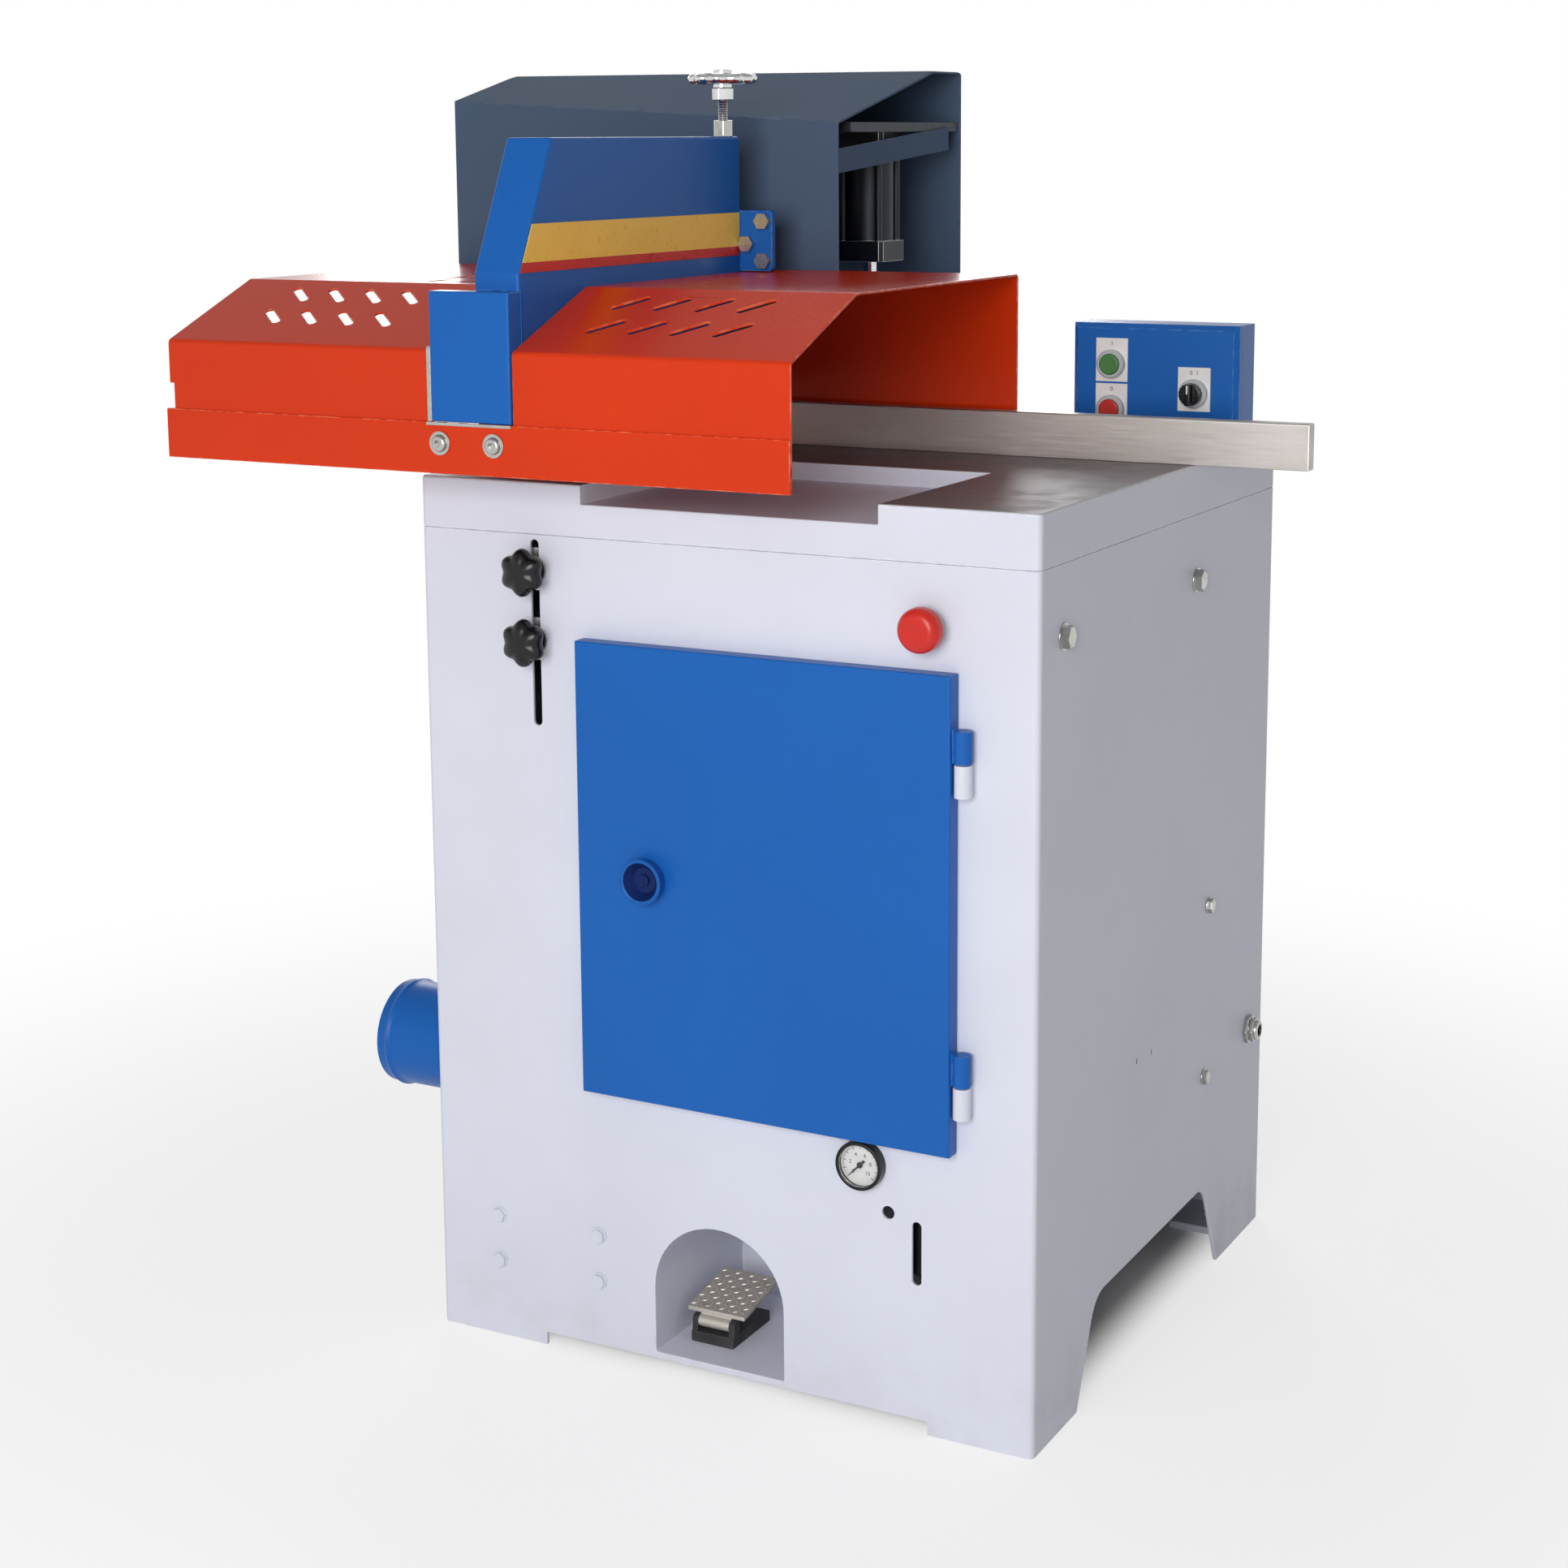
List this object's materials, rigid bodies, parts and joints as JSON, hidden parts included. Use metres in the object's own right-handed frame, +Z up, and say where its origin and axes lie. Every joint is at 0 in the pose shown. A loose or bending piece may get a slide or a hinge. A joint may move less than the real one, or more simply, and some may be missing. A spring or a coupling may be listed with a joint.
{
  "type": "up-cut cut-off saw",
  "caption": "Floor-standing up-cut cut-off saw: sheet cabinet, cast table, fence, clamping hood on a guided arm, rising blade below, foot pedal and push-button box.",
  "frame": {"origin": "middle of the whole object's box, on the floor it stands on", "axes": "+Z up; +Y from the operator's side towards the rear cover; +X to the operator's right along the fence"},
  "size_m": [0.987, 0.7994, 1.233],
  "materials": {
    "cabinet_paint": "satin light grey paint",
    "table_iron": "ground top, painted skirt",
    "bare_steel": "ground steel",
    "blade_steel": "ground saw steel",
    "dark_fasteners": "blackened steel",
    "bright_fasteners": "zinc plated",
    "blue_paint": "semi-gloss blue paint",
    "hood_paint": "gloss orange-red paint",
    "slate_paint": "semi-gloss slate paint",
    "cast_paint": "grey paint on castings",
    "motor_aluminium": "painted aluminium frame",
    "pulley_iron": "machined iron",
    "cylinder_aluminium": "anodised",
    "chrome": "polished chrome",
    "belt_rubber": "matt rubber",
    "black_plastic": "gloss moulding",
    "bezel_plastic": "gloss moulding",
    "gauge_black": "black enamel",
    "legend_white": "matt white",
    "gauge_glass": "clear",
    "needle_black": "matt black",
    "pedal_iron": "bare casting",
    "tread_steel": "chequered plate",
    "stop_red": "gloss moulding",
    "button_red": "gloss moulding",
    "button_green": "gloss moulding"
  },
  "bodies": {
    "root": {"cabinet_shell": "cabinet_paint", "table_top": "table_iron", "table_insert": "bare_steel", "fence_left": "bare_steel", "fence_right": "bare_steel", "fence_brackets": "dark_fasteners", "fence_screws": "dark_fasteners", "column_base": "bare_steel", "guide_rods": "bare_steel", "top_plate": "bare_steel", "clamp_cylinder": "cylinder_aluminium", "rear_cover": "slate_paint", "control_box": "blue_paint", "control_lid": "blue_paint", "legend_plates": "legend_white", "button_bezels": "bezel_plastic", "gauge_case": "gauge_black", "gauge_lens": "gauge_glass", "dust_port": "blue_paint", "pedal_base": "pedal_iron", "hinge_knuckles": "cabinet_paint", "cabinet_bolts": "cabinet_paint", "pivot_brackets": "cast_paint", "pivot_shaft": "bare_steel", "lift_bracket": "bare_steel", "air_regulator": "cylinder_aluminium", "cable_gland": "black_plastic", "lift_barrel": "cylinder_aluminium"},
    "saw_arm": {"swing_arm": "cast_paint", "spindle_bearings": "bare_steel", "motor_body": "motor_aluminium", "drive_belt": "belt_rubber"},
    "blade": {"spindle_shaft": "bare_steel", "saw_blade": "blade_steel", "blade_flanges": "bare_steel", "spindle_pulley": "pulley_iron"},
    "rotor": {"motor_pulley": "pulley_iron"},
    "lift_piston": {"lift_rod": "bare_steel"},
    "clamp": {"hood_left": "hood_paint", "hood_right": "hood_paint", "hood_strip": "hood_paint", "guard_arm": "blue_paint", "carriage": "blue_paint", "clamp_screws": "bright_fasteners", "clamp_rod": "bare_steel"},
    "screw": {"handwheel": "chrome", "stop_screw": "chrome"},
    "depth_stop": {"stop_block": "bare_steel"},
    "door": {"door_panel": "blue_paint"},
    "latch": {"latch_knob": "black_plastic"},
    "pedal": {"pedal_tread": "tread_steel"},
    "upper_stud": {"upper_stop_stud": "bare_steel"},
    "lower_stud": {"lower_stop_stud": "bare_steel"},
    "upper_knob": {"upper_star_knob": "black_plastic"},
    "lower_knob": {"lower_star_knob": "black_plastic"},
    "stop_push": {"stop_button": "stop_red"},
    "green_push": {"green_button": "button_green"},
    "red_push": {"red_button": "button_red"},
    "selector": {"selector_knob": "black_plastic"},
    "needle": {"gauge_needle": "needle_black"}
  },
  "joints": [
    {"name": "saw_arm_swing", "type": "hinge", "parent": "root", "child": "saw_arm", "pos_m": [-0.1205, 0.23375, 0.6975], "axis": [-1, 0, 0], "range_deg": [0, 21.84]},
    {"name": "blade_spin", "type": "hinge", "parent": "saw_arm", "child": "blade", "pos_m": [-0.1205, -0.09025, 0.635], "axis": [1, 0, 0], "continuous": true},
    {"name": "motor_spin", "type": "hinge", "parent": "saw_arm", "child": "rotor", "pos_m": [-0.1945, 0.10175, 0.36048], "axis": [1, 0, 0], "continuous": true},
    {"name": "lift_rod_slide", "type": "slide", "parent": "root", "child": "lift_piston", "axis": [0, 0, 1], "range_m": [0, 0.15393]},
    {"name": "clamp_lift", "type": "slide", "parent": "root", "child": "clamp", "axis": [0, 0, 1], "range_m": [0, 0.08]},
    {"name": "handwheel_turn", "type": "hinge", "parent": "clamp", "child": "screw", "pos_m": [-0.1075, 0.01475, 1.2], "axis": [0, 0, 1], "range_deg": [-1080, 1080]},
    {"name": "stop_block_slide", "type": "slide", "parent": "clamp", "child": "depth_stop", "axis": [0, 0, 1], "range_m": [-0.015, 0.015]},
    {"name": "door_swing", "type": "hinge", "parent": "root", "child": "door", "pos_m": [0.3145, -0.32525, 0.66], "axis": [0, 0, 1], "range_deg": [0, 110]},
    {"name": "latch_turn", "type": "hinge", "parent": "door", "child": "latch", "pos_m": [0.0005, -0.33225, 0.4915], "axis": [0, -1, 0], "range_deg": [0, 90]},
    {"name": "pedal_press", "type": "hinge", "parent": "root", "child": "pedal", "pos_m": [0.0325, -0.27125, 0.04], "axis": [-1, 0, 0], "range_deg": [0, 8], "stiffness_Nm_per_rad": 4, "springref_deg": -6.88},
    {"name": "upper_stop_slide", "type": "slide", "parent": "root", "child": "upper_stud", "axis": [0, 0, 1], "range_m": [-0.006, 0.012]},
    {"name": "lower_stop_slide", "type": "slide", "parent": "root", "child": "lower_stud", "axis": [0, 0, 1], "range_m": [-0.055, 0.01]},
    {"name": "upper_knob_turn", "type": "hinge", "parent": "upper_stud", "child": "upper_knob", "pos_m": [-0.1275, -0.34125, 0.768], "axis": [0, -1, 0], "range_deg": [0, 360]},
    {"name": "lower_knob_turn", "type": "hinge", "parent": "lower_stud", "child": "lower_knob", "pos_m": [-0.1275, -0.34125, 0.702], "axis": [0, -1, 0], "range_deg": [0, 360]},
    {"name": "stop_button_press", "type": "slide", "parent": "root", "child": "stop_push", "axis": [0, 1, 0], "range_m": [0, 0.005], "stiffness_N_per_m": 400, "springref_m": -0.002},
    {"name": "green_button_press", "type": "slide", "parent": "root", "child": "green_push", "axis": [0, 1, 0], "range_m": [0, 0.003], "stiffness_N_per_m": 400, "springref_m": -0.002},
    {"name": "red_button_press", "type": "slide", "parent": "root", "child": "red_push", "axis": [0, 1, 0], "range_m": [0, 0.003], "stiffness_N_per_m": 400, "springref_m": -0.002},
    {"name": "selector_turn", "type": "hinge", "parent": "root", "child": "selector", "pos_m": [0.3355, 0.18475, 0.907], "axis": [0, 1, 0], "range_deg": [-45, 45]},
    {"name": "gauge_needle_turn", "type": "hinge", "parent": "root", "child": "needle", "pos_m": [0.2125, -0.32625, 0.249], "axis": [0, 1, 0], "range_deg": [0, 270], "stiffness_Nm_per_rad": 0.0002, "springref_deg": -17.19}
  ],
  "couplings": [
    {"joint": "motor_spin", "follows": "blade_spin", "ratio": 0.71429},
    {"joint": "lift_rod_slide", "follows": "saw_arm_swing", "m_per_rad": 0.40386},
    {"joint": "stop_block_slide", "follows": "handwheel_turn", "m_per_rad": 0.0007957}
  ]
}
